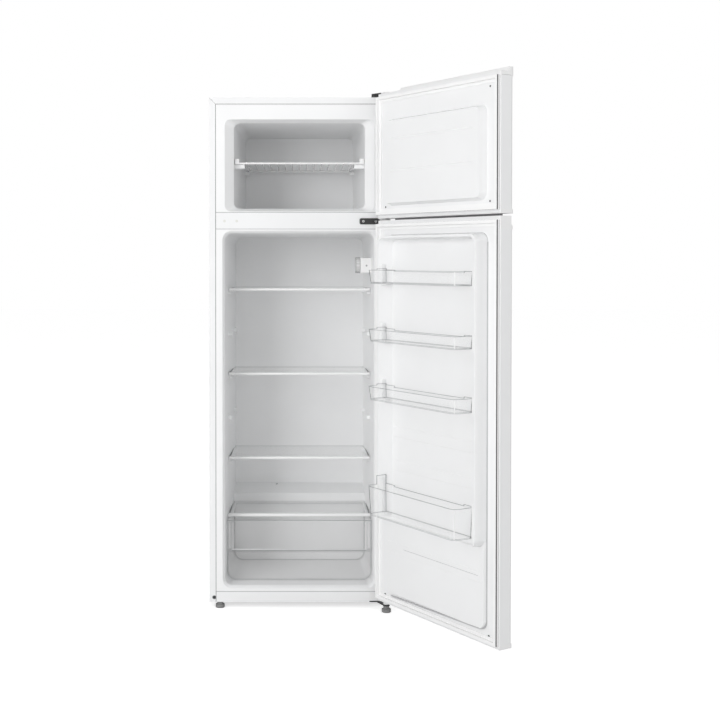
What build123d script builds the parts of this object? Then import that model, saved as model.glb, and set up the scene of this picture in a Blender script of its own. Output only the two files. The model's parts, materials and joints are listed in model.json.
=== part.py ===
from build123d import *
import os

os.makedirs("parts", exist_ok=True)

# Slim two-door refrigerator with the freezer on top and both doors standing open to the right.
# Millimetres. The origin is on the floor under the middle of the cabinet, +Z up, the front facing -Y.
# Depths are counted from the cabinet's front plane, towards the back.

# Cabinet
cabinet_width = 545.0
cabinet_depth = 490.0
foot_height = 20.0
skin = 1.0
flange_width = 20.0
flange_thick = 2.0
rear_return = 12.0
top_bend = 5.0
back_recess = 25.0
rail_height = 32.0
rail_return = 14.0
mullion_height = 50.0
top_wall = 66.0

# Fridge compartment
fridge_height = 1083.0
fridge_side_wall = 40.0
fridge_lip_low = 9.5
fridge_lip_high = 5.5
fridge_lip_depth = 10.0
fridge_lip_inset = 6.5
lip_step = 0.1
fridge_back_wall = 62.0
fridge_taper = 13.0
fridge_drop = 10.0
fridge_corner = 22.0
hump_slope = 20.0
drain_side = 76.0
drain_back = 9.0
drain_radius = 7.0
drain_bore = 5.0
drain_drop = 12.0

# Freezer compartment
freezer_height = 277.0
freezer_side_wall = 47.5
freezer_lip_low = 3.0
rim_depth = 25.0
rim_inset = 26.0
rim_drop = 9.0
freezer_back_wall = 49.0
freezer_taper = 19.0
freezer_drop = 9.0
freezer_corner = 18.0

liner_wall = 2.0

# Pegs moulded in the liners, which carry the shelves
peg_width = 12.0
peg_height = 13.0
peg_round = 5.0
peg_length = 10.0
peg_first = 366.7
peg_top_gap = 176.3
peg_front_inset = 24.0
peg_rear_inset = 22.0

# Glass shelves: the peg rows from below, and which of them carry a shelf
shelf_rows = ("lower", "", "middle", "", "upper")
shelf_front = 122.0
shelf_rear_gap = 45.0
shelf_gap = 2.5
glass_thick = 4.0
trim_height = 7.5
trim_depth = 12.0
trim_nose = 2.0
trim_over = 2.0
seat_gap = 0.3

# Crisper
cover_front = 94.0
cover_rear_gap = 6.0
cover_height = 190.7
cover_trim_height = 9.4
ledge_thick = 3.5
ledge_reach = 8.0
drawer_gap = 2.0
drawer_wall = 2.5
drawer_headroom = 0.8
drawer_corner = 30.0
drawer_step_height = 96.0
drawer_step = 9.0
drawer_lead = 34.0
drawer_rear_gap = 5.0

# Wire shelf in the freezer
wire_level = 139.0
wire_front = 45.0
wire_rear_gap = 30.0
wire_clearance = 8.0
bar_radius = 3.0
side_bar_radius = 2.4
wire_radius = 1.5
wire_count = 15
weld = 0.8
clip_width = 13.0
clip_depth = 22.0
clip_height = 17.0
clip_round = 2.0

# Thermostat and lamp housing
housing_front = 112.0
housing_depth = 185.0
housing_height = 45.0
housing_below_top = 105.0
housing_reach = 32.0
housing_wall = 3.0
housing_round = 6.0
lens_wall = 2.0
thermostat_depth = 84.0
knob_radius = 24.0
knob_thick = 13.0
knob_teeth = 18
knob_tooth = 2.0
spindle_radius = 3.0
spindle_length = 9.0
bulb_radius = 8.0
bulb_length = 46.0
bulb_base = 7.0
bulb_stem = 10.0

# Doors
door_angle = 121.8
seal_gap = 12.0
door_thick = 45.0
door_gap = 6.0
door_round = 8.0
door_wall = 2.0
door_return = 14.0
door_edge = 2.0
door_below = 16.5
door_above = 4.0
hinge_rise = 27.0
pivot_inset = 11.5
pivot_front = 36.0
cap_thick = 11.5
cap_flare = 3.0
grip_cap = 35.0
grip_start = 7.0
grip_recess = 6.0
lip_height = 13.0
lip_low = 3.0
lip_thick = 15.0
lip_short = 75.0
gasket_side = 2.5
gasket_end = 10.5
gasket_width = 17.0
gasket_base = 2.5
bead_width = 8.5
seal_clear = 1.5

# Door liners
dyke_height = 40.0
dyke_inset = 48.5
dyke_slope = 3.0
dyke_corner = 24.0
dyke_low = 40.0
dyke_top = 44.0
dyke_foot = 260.0
ridge_side = 8.0
ridge_top = 6.0
plateau_height = 9.0
pocket_slope = 19.0
pocket_top_slope = 5.0
pocket_floor = 3.0
pocket_corner = 18.0
band_height = 33.0
band_proud = 0.8
band_slope = 2.0
band_margin = 6.0
plateau_band = 180.5
pocket_bands = (422.5, 519.5)
pan_inset = 51.5
pan_height = 20.0
pan_slope = 7.0
pan_low = 36.0
pan_top = 81.0
pan_corner = 24.0
pan_rib_depth = 1.2
pan_rib_width = 7.0
pan_rib_heights = (137.0, 230.0)

# Door balconies: the bottle tray is placed from the fridge door's foot,
# the low trays from its top, each with its drop and its height
bottle_level = 283.5
bottle_height = 83.0
low_trays = {"lower": (520.0, 38.0), "middle": (351.0, 34.0), "upper": (184.0, 38.0)}
balcony_gap = 12.0
balcony_back = 22.0
balcony_reach = 72.0
balcony_flare = 4.0
balcony_wall = 2.2
balcony_corner = 22.0
balcony_rear_drop = 4.0
lug_width = 12.0
lug_depth = 10.0
lug_thick = 7.0
lug_set = 2.0
lug_gap = 0.4
lug_rise = 16.0
ear_depth = 33.0
ear_rise = 4.0
bottle_ear_rise = 25.0

# Hinges
plate_thick = 3.0
pin_radius = 4.0
pin_length = 9.0
pin_clear = 0.05
bush_radius = 7.0
bush_length = 10.0
arm_round = 11.0
mid_plate_length = 58.0
mid_plate_start = 91.0
mid_plate_height = 18.5
mid_plate_drop = 13.0
mid_plate_round = 5.0
low_plate_length = 40.0
low_plate_height = 26.0
collar_radius = 8.5
top_plate_length = 55.0
top_plate_depth = 60.0
top_clear = 3.3

# Feet and rollers
foot_radius = 14.0
foot_pad = 11.0
foot_neck = 9.0
foot_bevel = 1.2
stud_radius = 4.0
stud_length = 16.0
left_foot_inset = 31.5
left_foot_back = 15.0
roller_radius = 15.0
roller_width = 18.0
roller_inset = 45.0
roller_back = 22.0
roller_side_gap = 0.5
roller_bevel = 1.0
axle_radius = 3.0
ear_thick = 3.0
ear_half = 9.0

# Compressor niche
niche_room = 140.0
niche_wall = 30.0
niche_height = 236.0
tray_rise = 13.0
tray_sheet = 1.5
tray_lip = 12.0
compressor_length = 190.0
compressor_width = 116.0
compressor_height = 148.0
compressor_corner = 56.0
compressor_round = 26.0
compressor_shift = -40.0
seam_height = 62.0
seam_thick = 5.0
seam_proud = 4.0
strap_length = 206.0
strap_width = 100.0
strap_thick = 3.0
mount_radius = 11.0
mount_height = 12.0
mount_inset = 15.0
box_length = 40.0
box_width = 62.0
box_height = 58.0
box_level = 46.0
box_round = 6.0
box_lap = 13.0
inlet_radius = 4.5
inlet_length = 20.0
inlet_rise = 14.5
drip_length = 170.0
drip_width = 108.0
drip_height = 30.0
drip_wall = 2.0
tube_radius = 4.0
stub_length = 22.0
suction_level = 92.0
discharge_level = 34.0
stub_spread = 19.0
tube_bend = 18.0

# Condenser on the back
coil_radius = 2.5
coil_top_gap = 75.0
coil_pitch = 150.0
coil_low = 90.0
coil_bend = 36.0
coil_side = 68.0
coil_standoff = 12.0
coil_start_side = 47.0
coil_return_side = 32.0
coil_clip = 12.0
coil_clip_rows = (1, 3, 5)
coil_clip_side = 120.0
drier_radius = 9.0
drier_length = 90.0
drier_cone = 12.0
drier_drop = 13.0

# Evaporator plates behind the liners
plate_sheet = 1.5
plate_margin = 34.0

# Levels and places that follow from the sizes
half = cabinet_width / 2
front = -cabinet_depth / 2
back_plane = cabinet_depth - back_recess
base = foot_height
rail_top = base + rail_height
fridge_low = rail_top + fridge_lip_low
fridge_high = fridge_low + fridge_height
mullion_low = fridge_high + fridge_lip_high
mullion_high = mullion_low + mullion_height
freezer_low = mullion_high + freezer_lip_low
freezer_high = freezer_low + freezer_height
cabinet_top = freezer_high + top_wall
liner_edge = half - flange_width
flange_low = cabinet_top - flange_width
floor_level = fridge_low + fridge_lip_inset
fridge_depth = back_plane - skin - fridge_back_wall
freezer_depth = back_plane - skin - freezer_back_wall
niche_depth = cabinet_depth - niche_room
niche_top = base + niche_height
hump_depth = niche_depth - niche_wall - liner_wall
hump_top = niche_top + niche_wall + liner_wall
shelf_end = fridge_depth - shelf_rear_gap
cover_end = hump_depth - cover_rear_gap
peg_front = shelf_front + peg_front_inset
peg_rear = shelf_end - peg_rear_inset
peg_start = floor_level + peg_first
peg_pitch = (fridge_high - fridge_lip_inset - peg_top_gap - peg_start) / (len(shelf_rows) - 1)
wire_rear = freezer_depth - wire_rear_gap
hinge_level = mullion_low + hinge_rise
pivot_x = half - pivot_inset
door_face = -(seal_gap + door_thick)
door_inner = -seal_gap
shell_back = door_inner - door_wall
fridge_door_low = base + door_below
fridge_door_high = hinge_level - door_gap / 2
freezer_door_low = hinge_level + door_gap / 2
freezer_door_high = cabinet_top + door_above
balcony_rows = {name: (fridge_door_high - drop, high, ear_rise) for name, (drop, high) in low_trays.items()}
balcony_rows["bottle"] = (fridge_door_low + bottle_level, bottle_height, bottle_ear_rise)

# Rows of a drafted cavity: depth, half width, low, high, corner radius
fridge_rows = [
    (0, half - fridge_side_wall, fridge_low, fridge_high, fridge_corner + fridge_lip_inset),
    (
        fridge_lip_depth,
        half - fridge_side_wall - fridge_lip_inset,
        floor_level,
        fridge_high - fridge_lip_inset,
        fridge_corner,
    ),
    (
        fridge_depth,
        half - fridge_side_wall - fridge_lip_inset - fridge_taper,
        floor_level,
        fridge_high - fridge_lip_inset - fridge_drop,
        fridge_corner,
    ),
]
freezer_rows = [
    (0, half - freezer_side_wall, freezer_low, freezer_high, freezer_corner),
    (
        rim_depth,
        half - freezer_side_wall - rim_inset,
        freezer_low + rim_drop,
        freezer_high - rim_drop,
        freezer_corner,
    ),
    (
        freezer_depth,
        half - freezer_side_wall - rim_inset - freezer_taper,
        freezer_low + rim_drop,
        freezer_high - rim_drop - freezer_drop,
        freezer_corner,
    ),
]


def block(x0, x1, d0, d1, z0, z1):
    """Block between two corners, with its depths counted from the cabinet's front."""
    centre = Pos((x0 + x1) / 2, front + (d0 + d1) / 2, (z0 + z1) / 2)
    return centre * Box(x1 - x0, d1 - d0, z1 - z0)


def rod(x, d, z, radius, length, axis):
    """Round bar that starts at a point and runs along +X, +Y or +Z."""
    turn = {"x": Rot(0, 90, 0), "y": Rot(-90, 0, 0), "z": Rot(0, 0, 0)}[axis]
    bar = Cylinder(radius, length, align=(Align.CENTER, Align.CENTER, Align.MIN))
    return Pos(x, front + d, z) * turn * bar


def across(points, reach):
    """Outline drawn in depth and height, carried across the cabinet to both sides."""
    outline = Plane.YZ * Polygon(*[(front + d, z) for d, z in points], align=None)
    return extrude(outline, amount=reach, both=True)


def plan(points, low, high):
    """Outline drawn in width and depth, raised between two levels."""
    outline = Polygon(*[(x, front + d) for x, d in points], align=None)
    return Pos(0, 0, low) * extrude(outline, amount=high - low, dir=(0, 0, 1))


def section(depth, reach, low, high, radius):
    """Rounded rectangle that stands across the opening at a depth."""
    middle = (0, front + depth, (low + high) / 2)
    plane = Plane(origin=middle, x_dir=(1, 0, 0), z_dir=(0, -1, 0))
    return plane * RectangleRounded(2 * reach, high - low, radius)


def tub(rows, wall=0.0):
    """Drafted cavity through its rows, grown by a wall around it."""
    faces = []
    for depth, reach, low, high, radius in rows:
        faces.append(section(depth, reach + wall, low - wall, high + wall, radius + wall))
    return loft(faces, ruled=True)


def tube(points, radius, bend):
    """Round tube along straight runs, with a quarter bend at each corner."""
    stops = [Vector(x, front + d, z) for x, d, z in points]
    pieces = []
    start = stops[0]
    for here, corner, after in zip(stops, stops[1:], stops[2:]):
        heading = (corner - here).normalized()
        leaving = (after - corner).normalized()
        entry = corner - heading * bend
        pieces.append(extrude(Plane(origin=start, z_dir=heading) * Circle(radius), (entry - start).length))
        pins = Axis(entry + leaving * bend, heading.cross(leaving))
        pieces.append(revolve(Plane(origin=entry, z_dir=heading) * Circle(radius), pins, 90))
        start = corner + leaving * bend
    last = stops[-1] - start
    pieces.append(extrude(Plane(origin=start, z_dir=last.normalized()) * Circle(radius), last.length))
    return pieces[0] + pieces[1:]


def fridge_wall_at(depth):
    """Half the width between the fridge liner's walls at a depth."""
    run = (depth - fridge_lip_depth) / (fridge_depth - fridge_lip_depth)
    return fridge_rows[1][1] - fridge_taper * run


def freezer_wall_at(depth):
    """Half the width between the freezer liner's walls at a depth."""
    run = (depth - rim_depth) / (freezer_depth - rim_depth)
    return freezer_rows[1][1] - freezer_taper * run


def opened(shape):
    """Piece of a closed door, swung open about the hinge pins."""
    pins = Axis((pivot_x, front - pivot_front, 0), (0, 0, 1))
    return shape.rotate(pins, door_angle)


def peg(x, depth, top, reach):
    """Moulded peg with a flat top and a rounded foot, which runs along +X into the wall."""
    form = block(x, x + reach, depth - peg_width / 2, depth + peg_width / 2, top - peg_height, top)
    return fillet(form.edges().filter_by(Axis.X).sort_by(Axis.Z)[:2], peg_round)


parts = {}

# Cabinet wrapper: sides and top in one bent sheet, returned at the front and the rear
wrap_outer = block(-half, half, 0, cabinet_depth, base, cabinet_top)
wrap_edges = wrap_outer.edges().filter_by(Axis.Y).sort_by(Axis.Z)[-2:]
wrap_outer = fillet(wrap_edges, top_bend)
wrap_inner = block(-half + skin, half - skin, 0, cabinet_depth, base, cabinet_top - skin)
front_return = block(-half + skin, half - skin, 0, flange_thick, base, cabinet_top - skin)
front_return -= block(-liner_edge, liner_edge, 0, flange_thick, base, flange_low)
rear_fold = block(-half + skin, half - skin, cabinet_depth - skin, cabinet_depth, base, cabinet_top - skin)
rear_hole = half - rear_return
rear_fold -= block(-rear_hole, rear_hole, 0, cabinet_depth, base, cabinet_top - rear_return)
parts["cabinet_shell"] = wrap_outer - wrap_inner + front_return + rear_fold

# Fridge liner: drafted tub with the compressor hump, shelf pegs and crisper ledges
hump_end = fridge_depth + 2 * liner_wall


def fridge_tub(wall):
    """Fridge cavity of flat drafted walls, round corners and a flared lip, grown by a wall around it."""
    start, wide, low, high, radius = fridge_rows[1]
    end, narrow, _, rear_high, _ = fridge_rows[2]
    mouth = (start, wide - lip_step, low + lip_step, high - lip_step, radius)
    deep = end + wall
    wide += wall
    narrow += wall
    form = plan([(-wide, start), (wide, start), (narrow, deep), (-narrow, deep)], low - wall, high + wall)
    sides = [(start, low - wall), (start, high + wall), (deep, rear_high + wall), (deep, low - wall)]
    form = form & across(sides, half)
    runs = form.edges().filter_by(lambda edge: abs((edge % 0).Y) > abs((edge % 0).X) + abs((edge % 0).Z))
    form = fillet(runs, radius + wall)
    return form + tub([fridge_rows[0], mouth], wall)


def hump(wall):
    """Step over the compressor, as the liner's inside sees it, thinned by a wall."""
    face = hump_depth + wall
    low = floor_level - 2 * liner_wall
    rise = hump_top - wall
    rear_rise = rise + hump_slope
    return across([(face, low), (face, rise), (hump_end, rear_rise), (hump_end, low)], half)


peg_levels = [peg_start + peg_pitch * row for row in range(len(shelf_rows))]
supports = []
for level in peg_levels:
    for depth in (peg_front, peg_rear):
        supports.append(peg(fridge_wall_at(depth) - peg_length, depth, level, peg_length + liner_wall / 2))
cover_seat = floor_level + cover_height
ledge = block(
    fridge_wall_at(cover_end) - ledge_reach,
    half,
    cover_front + trim_depth,
    cover_end,
    cover_seat - ledge_thick,
    cover_seat,
)
supports.append(ledge)
fridge_space = fridge_tub(0) - hump(0) - supports - [mirror(form, about=Plane.YZ) for form in supports]
fridge_body = fridge_tub(liner_wall) - hump(liner_wall)
fridge_flange = block(-liner_edge, liner_edge, 0, flange_thick, rail_top, mullion_low)
fridge_liner = fridge_flange + fridge_body - fridge_space

# Drain of the defrost water, through the hump and down into the niche
drain_d = fridge_depth - drain_back
drain_low = niche_top - drain_drop
drain_length = hump_top + hump_slope - drain_low
drain_hole = rod(-drain_side, drain_d, drain_low, drain_bore, drain_length, "z")
drain_seat = rod(-drain_side, drain_d, drain_low, drain_radius, drain_length, "z")
parts["fridge_liner"] = fridge_liner - drain_hole
parts["drain_tube"] = drain_seat - drain_hole - fridge_body

# Freezer liner: drafted tub with a flared rim and four shelf pegs
freezer_space = tub(freezer_rows)
freezer_end = (freezer_depth + liner_wall, *freezer_rows[-1][1:])
freezer_body = tub(freezer_rows[:-1] + [freezer_end], liner_wall)
freezer_flange = block(-liner_edge, liner_edge, 0, flange_thick, mullion_high, flange_low)
freezer_liner = freezer_flange + freezer_body - freezer_space
wire_z = freezer_low + rim_drop + wire_level
for depth in (wire_front + clip_depth / 2, wire_rear - 2 * bar_radius):
    inner = freezer_wall_at(wire_rear) - wire_clearance - 2 * bar_radius
    reach = freezer_wall_at(depth) - inner + liner_wall / 2
    support = peg(inner, depth, wire_z - bar_radius - seat_gap, reach)
    freezer_liner += support
    freezer_liner += mirror(support, about=Plane.YZ)
parts["freezer_liner"] = freezer_liner

# Rails across the front, folded from sheet
mullion = block(-liner_edge, liner_edge, 0, rail_return, mullion_low, mullion_high)
mullion -= block(-liner_edge, liner_edge, skin, rail_return, mullion_low + skin, mullion_high - skin)
parts["mullion_rail"] = mullion
rail = block(-liner_edge, liner_edge, 0, rail_return, base, rail_top)
rail -= block(-liner_edge, liner_edge, skin, rail_return, base + skin, rail_top - skin)
left_foot_x = -(half - left_foot_inset)
hole_radius = stud_radius + seat_gap
stud_hole = rod(left_foot_x, left_foot_back, base - skin, hole_radius, stud_length + 2 * skin, "z")
parts["bottom_rail"] = rail - stud_hole

# Bottom panel: floor, riser and ceiling of the compressor niche in one bent sheet
inner_half = half - skin
panel = block(-inner_half, inner_half, rail_return, niche_depth, base, base + skin)
panel += block(-inner_half, inner_half, niche_depth - skin, niche_depth, base, niche_top)
panel += block(-inner_half, inner_half, niche_depth - skin, back_plane, niche_top - skin, niche_top)
parts["bottom_panel"] = panel - stud_hole - drain_seat

# Back panel, set in from the rear edge
panel_start = back_plane - skin
parts["back_panel"] = block(-inner_half, inner_half, panel_start, back_plane, niche_top, cabinet_top - skin)

# Evaporator plates between the liners and the foam
freezer_plate_half = freezer_rows[2][1] - plate_margin
parts["freezer_evaporator"] = block(
    -freezer_plate_half,
    freezer_plate_half,
    freezer_depth + liner_wall,
    freezer_depth + liner_wall + plate_sheet,
    freezer_rows[2][2] + plate_margin,
    freezer_rows[2][3] - plate_margin,
)
fridge_plate_half = fridge_rows[2][1] - plate_margin
parts["fridge_evaporator"] = block(
    -fridge_plate_half,
    fridge_plate_half,
    fridge_depth + liner_wall,
    fridge_depth + liner_wall + plate_sheet,
    hump_top + hump_slope + plate_margin,
    fridge_rows[2][3] - plate_margin,
)

# Foam between the wrapper and the liners
foam = block(-inner_half, inner_half, flange_thick, back_plane - skin, base + skin, cabinet_top - skin)
foam -= block(-inner_half, inner_half, niche_depth - skin, back_plane, base, niche_top)
foam -= fridge_body + freezer_body
foam -= block(-liner_edge, liner_edge, 0, rail_return, base, rail_top)
foam -= parts["mullion_rail"]
foam -= parts["freezer_evaporator"]
foam -= parts["fridge_evaporator"]
parts["cabinet_foam"] = foam - stud_hole - drain_seat

# Base tray of the niche, with ears and axles for the rear rollers
tray_low = base + tray_rise
tray_top = tray_low + tray_sheet
tray = block(-inner_half, inner_half, niche_depth, cabinet_depth - skin, tray_low, tray_top)
tray += block(-inner_half, inner_half, niche_depth, niche_depth + tray_sheet, tray_low, tray_top + tray_lip)
roller_x = half - roller_inset
roller_d = cabinet_depth - roller_back
ear_gap = roller_width / 2 + roller_side_gap
for side in (-1, 1):
    for ear in (-1, 1):
        x = side * roller_x + ear * (ear_gap + ear_thick / 2)
        low = roller_radius - ear_half
        plate = block(-ear_thick / 2, ear_thick / 2, roller_d - ear_half, roller_d + ear_half, low, tray_low)
        tray += Pos(x, 0, 0) * plate
    axle_start = side * roller_x - ear_gap - ear_thick
    tray += rod(axle_start, roller_d, roller_radius, axle_radius, 2 * (ear_gap + ear_thick), "x")
parts["base_tray"] = tray

# Rear rollers
for side, name in ((-1, "left_roller"), (1, "right_roller")):
    start = side * roller_x - roller_width / 2
    wheel = rod(start, roller_d, roller_radius, roller_radius, roller_width, "x")
    wheel = chamfer(wheel.edges().filter_by(GeomType.CIRCLE), roller_bevel)
    parts[name] = wheel - rod(start, roller_d, roller_radius, axle_radius + pin_clear, roller_width, "x")

# Compressor: drawn can with a weld seam, on a strap plate
can_x = compressor_shift
can_d = (niche_depth + cabinet_depth) / 2
strap_low = tray_top + mount_height
can_low = strap_low + strap_thick
can_at = Pos(can_x, front + can_d, can_low)
can_plan = RectangleRounded(compressor_length, compressor_width, compressor_corner)
can = can_at * extrude(can_plan, amount=compressor_height)
can = fillet(can.faces().sort_by(Axis.Z)[-1].edges(), compressor_round)
seam = offset(can_plan, seam_proud)
can += Pos(0, 0, seam_height) * can_at * extrude(seam, amount=seam_thick)
strap = extrude(RectangleRounded(strap_length, strap_width, mount_radius), amount=strap_thick)
can += can_at * Pos(0, 0, -strap_thick) * strap
can_end = can_x + compressor_length / 2 + stub_length
suction_d = can_d - stub_spread
discharge_d = can_d + stub_spread
for depth, level in ((suction_d, suction_level), (discharge_d, discharge_level)):
    can += rod(can_x, depth, can_low + level, tube_radius, can_end - can_x, "x")
parts["compressor"] = can

# Rubber feet of the compressor
mounts = []
for side in (-1, 1):
    for end in (-1, 1):
        x = can_x + side * (strap_length / 2 - mount_inset)
        depth = can_d + end * (strap_width / 2 - mount_inset)
        mounts.append(rod(x, depth, tray_top, mount_radius, mount_height, "z"))
parts["compressor_mounts"] = Compound(children=mounts)

# Terminal box on the compressor's end, with the cord's inlet
can_side = can_x - compressor_length / 2
box_x = can_side - box_length / 2
box_low = strap_low + box_level
terminal = block(
    box_x - box_length / 2,
    can_side + box_lap,
    can_d - box_width / 2,
    can_d + box_width / 2,
    box_low,
    box_low + box_height,
)
terminal = fillet(terminal.faces().sort_by(Axis.X)[0].edges(), box_round)
inlet_d = can_d + box_width / 2 - inlet_length
terminal -= rod(box_x, inlet_d, box_low + inlet_rise, inlet_radius, inlet_length, "y")
parts["terminal_box"] = terminal - parts["compressor"]

# Evaporation tray that catches the defrost water over the warm compressor
drip_low = can_low + compressor_height
drip_at = Pos(can_x, front + can_d, drip_low)
drip = drip_at * extrude(RectangleRounded(drip_length, drip_width, compressor_round), amount=drip_height)
hole_length = drip_length - 2 * drip_wall
hole_width = drip_width - 2 * drip_wall
drip_hole = RectangleRounded(hole_length, hole_width, compressor_round - drip_wall)
parts["evaporation_tray"] = drip - drip_at * Pos(0, 0, drip_wall) * extrude(drip_hole, amount=drip_height)

# Condenser: serpentine tube on clips, standing off the back panel
coil_d = back_plane + coil_standoff
coil_first = niche_top + coil_low
coil_half = half - coil_side
start_x = half - coil_start_side
return_x = -(half - coil_return_side)
coil_turns = int((cabinet_top - coil_top_gap - coil_first) / (2 * coil_pitch))
coil_runs = 2 * coil_turns + 1
drier_top = niche_top - drier_drop
points = [(start_x, coil_d, niche_top + coil_bend), (start_x, coil_d, coil_first)]
side = -1
for run in range(coil_runs - 1):
    z = coil_first + run * coil_pitch
    points.append((side * coil_half, coil_d, z))
    points.append((side * coil_half, coil_d, z + coil_pitch))
    side = -side
coil_high = coil_first + (coil_runs - 1) * coil_pitch
points.append((return_x, coil_d, coil_high))
points.append((return_x, coil_d, drier_top))
condenser = tube(points, coil_radius, coil_bend)
for row in coil_clip_rows:
    z = coil_first + row * coil_pitch
    for clip_x in (-coil_clip_side, coil_clip_side):
        condenser += block(
            clip_x - coil_clip / 2,
            clip_x + coil_clip / 2,
            back_plane,
            coil_d + coil_radius / 2,
            z - coil_clip / 2,
            z + coil_clip / 2,
        )
parts["condenser"] = condenser

# Filter drier at the end of the condenser
drier_low = drier_top - drier_length
drier = rod(return_x, coil_d, drier_low, drier_radius, drier_length, "z")
drier = chamfer(drier.edges().filter_by(GeomType.CIRCLE), drier_cone, drier_radius - coil_radius - seat_gap)
parts["filter_drier"] = drier

# Tubes between the compressor, the condenser and the niche ceiling
suction_z = can_low + suction_level
discharge_z = can_low + discharge_level
suction = tube(
    [
        (can_end, suction_d, suction_z),
        (can_end + 2 * tube_bend, suction_d, suction_z),
        (can_end + 2 * tube_bend, suction_d, niche_top - skin),
    ],
    tube_radius,
    tube_bend,
)
discharge = tube(
    [
        (can_end, discharge_d, discharge_z),
        (start_x, discharge_d, discharge_z),
        (start_x, coil_d, discharge_z),
        (start_x, coil_d, niche_top + coil_bend),
    ],
    coil_radius,
    tube_bend,
)
capillary = tube(
    [
        (return_x, coil_d, drier_low),
        (return_x, coil_d, drier_low - 2 * tube_bend),
        (return_x, niche_depth, drier_low - 2 * tube_bend),
    ],
    coil_radius,
    tube_bend,
)
parts["refrigerant_tubes"] = Compound(children=[suction, discharge, capillary])

# Hinges: plates with a forward arm, on one vertical axis
pivot_d = -pivot_front


def arm(x0, low):
    """Forward arm of a hinge, rounded about the pins."""
    outline = [(x0, 0), (half - arm_round, 0), (pivot_x + arm_round, pivot_d), (pivot_x - arm_round, pivot_d)]
    return plan(outline, low, low + plate_thick) + rod(pivot_x, pivot_d, low, arm_round, plate_thick, "z")


mid_low = hinge_level - plate_thick / 2
mid_start = half - mid_plate_start
mid_plate_low = hinge_level - mid_plate_drop
middle = block(
    mid_start,
    mid_start + mid_plate_length,
    -plate_thick,
    0,
    mid_plate_low,
    mid_plate_low + mid_plate_height,
)
middle = fillet(middle.edges().filter_by(Axis.Y), mid_plate_round)
middle += arm(mid_start + mid_plate_length / 2, mid_low)
middle += rod(pivot_x, pivot_d, fridge_door_high - pin_length, pin_radius, door_gap + 2 * pin_length, "z")
parts["middle_hinge"] = middle

low_start = liner_edge - low_plate_length
lower = block(low_start, liner_edge, -plate_thick, 0, base, base + low_plate_height)
lower += arm(low_start + low_plate_length / 2, base)
lower += rod(pivot_x, pivot_d, base, collar_radius, door_below - seat_gap, "z")
lower += rod(pivot_x, pivot_d, base, pin_radius, door_below + pin_length, "z")
parts["bottom_hinge"] = lower

top_level = freezer_door_high + top_clear
top_start = half - top_plate_length
top_end = half - top_bend
riser_end = skin + plate_thick
upper = block(top_start, top_end, skin, top_plate_depth, cabinet_top, cabinet_top + plate_thick)
upper += block(top_start, top_end, skin, riser_end, cabinet_top, top_level)
upper += block(top_start, top_end, 0, riser_end, top_level, top_level + plate_thick)
upper += arm(top_start, top_level)
upper += rod(pivot_x, pivot_d, freezer_door_high - pin_length, pin_radius, top_clear + pin_length, "z")
parts["top_hinge"] = upper

# Levelling feet
for name, x, depth, stud in (
    ("left_foot", left_foot_x, left_foot_back, stud_length),
    ("right_foot", pivot_x, pivot_d, 0),
):
    foot = rod(x, depth, 0, foot_radius, foot_pad, "z")
    foot = chamfer(foot.edges().filter_by(GeomType.CIRCLE), foot_bevel)
    foot += rod(x, depth, foot_pad, foot_neck, base - foot_pad, "z")
    if stud:
        foot += rod(x, depth, base, stud_radius, stud, "z")
    parts[name] = foot

# Glass shelves with a front trim
def shelf_plan(start, end, low, high):
    """Plate between the fridge walls, narrowing with them."""
    near = fridge_wall_at(start) - shelf_gap
    far = fridge_wall_at(end) - shelf_gap
    return plan([(-near, start), (near, start), (far, end), (-far, end)], low, high)


def trim_bar(start, low, height, glass):
    """Rounded front trim that wraps the glass edge."""
    reach = fridge_wall_at(start) - shelf_gap
    bar = block(-reach, reach, start, start + trim_depth, low, low + height)
    bar = fillet(bar.edges().filter_by(Axis.X).sort_by(Axis.Y)[:2], trim_nose)
    return bar - glass


for name, level in zip(shelf_rows, peg_levels):
    if not name:
        continue
    seat = level + seat_gap
    glass = shelf_plan(shelf_front + trim_over, shelf_end, seat, seat + glass_thick)
    parts[name + "_shelf_glass"] = glass
    trim_low = seat + trim_over + glass_thick - trim_height
    parts[name + "_shelf_trim"] = trim_bar(shelf_front, trim_low, trim_height, glass)

cover_low = cover_seat + seat_gap
cover = shelf_plan(cover_front + trim_over, cover_end, cover_low, cover_low + glass_thick)
parts["crisper_cover_glass"] = cover
parts["crisper_cover_trim"] = trim_bar(cover_front, cover_low, cover_trim_height, cover)

# Crisper drawer: clear tub with a stepped front
drawer_low = floor_level + seat_gap
drawer_high = cover_seat - ledge_thick - drawer_headroom
drawer_front = cover_front - drawer_lead
drawer_back = hump_depth - drawer_rear_gap
step_level = floor_level + drawer_step_height


def drawer_form(wall):
    """Drawer's outline, thinned by a wall on every side but the open top."""
    high = drawer_high + wall
    low = drawer_low + wall
    face = drawer_front + wall
    foot = face + drawer_step
    rear = drawer_back - wall
    step = step_level + wall
    profile = [(face, high), (face, step), (foot, step - drawer_step), (foot, low), (rear, low), (rear, high)]
    form = across(profile, half)
    near = fridge_wall_at(drawer_front) - drawer_gap - wall
    far = fridge_wall_at(drawer_back) - drawer_gap - wall
    form = form & plan([(-near, face), (near, face), (far, rear), (-far, rear)], low, high)
    lower_edges = form.edges().filter_by(lambda edge: edge.center().Z < low + seat_gap)
    long_edges = [edge for edge in lower_edges if abs(edge.center().X) > near / 2]
    return fillet(long_edges, drawer_corner - wall)


parts["crisper_drawer"] = drawer_form(0) - drawer_form(drawer_wall)

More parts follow.
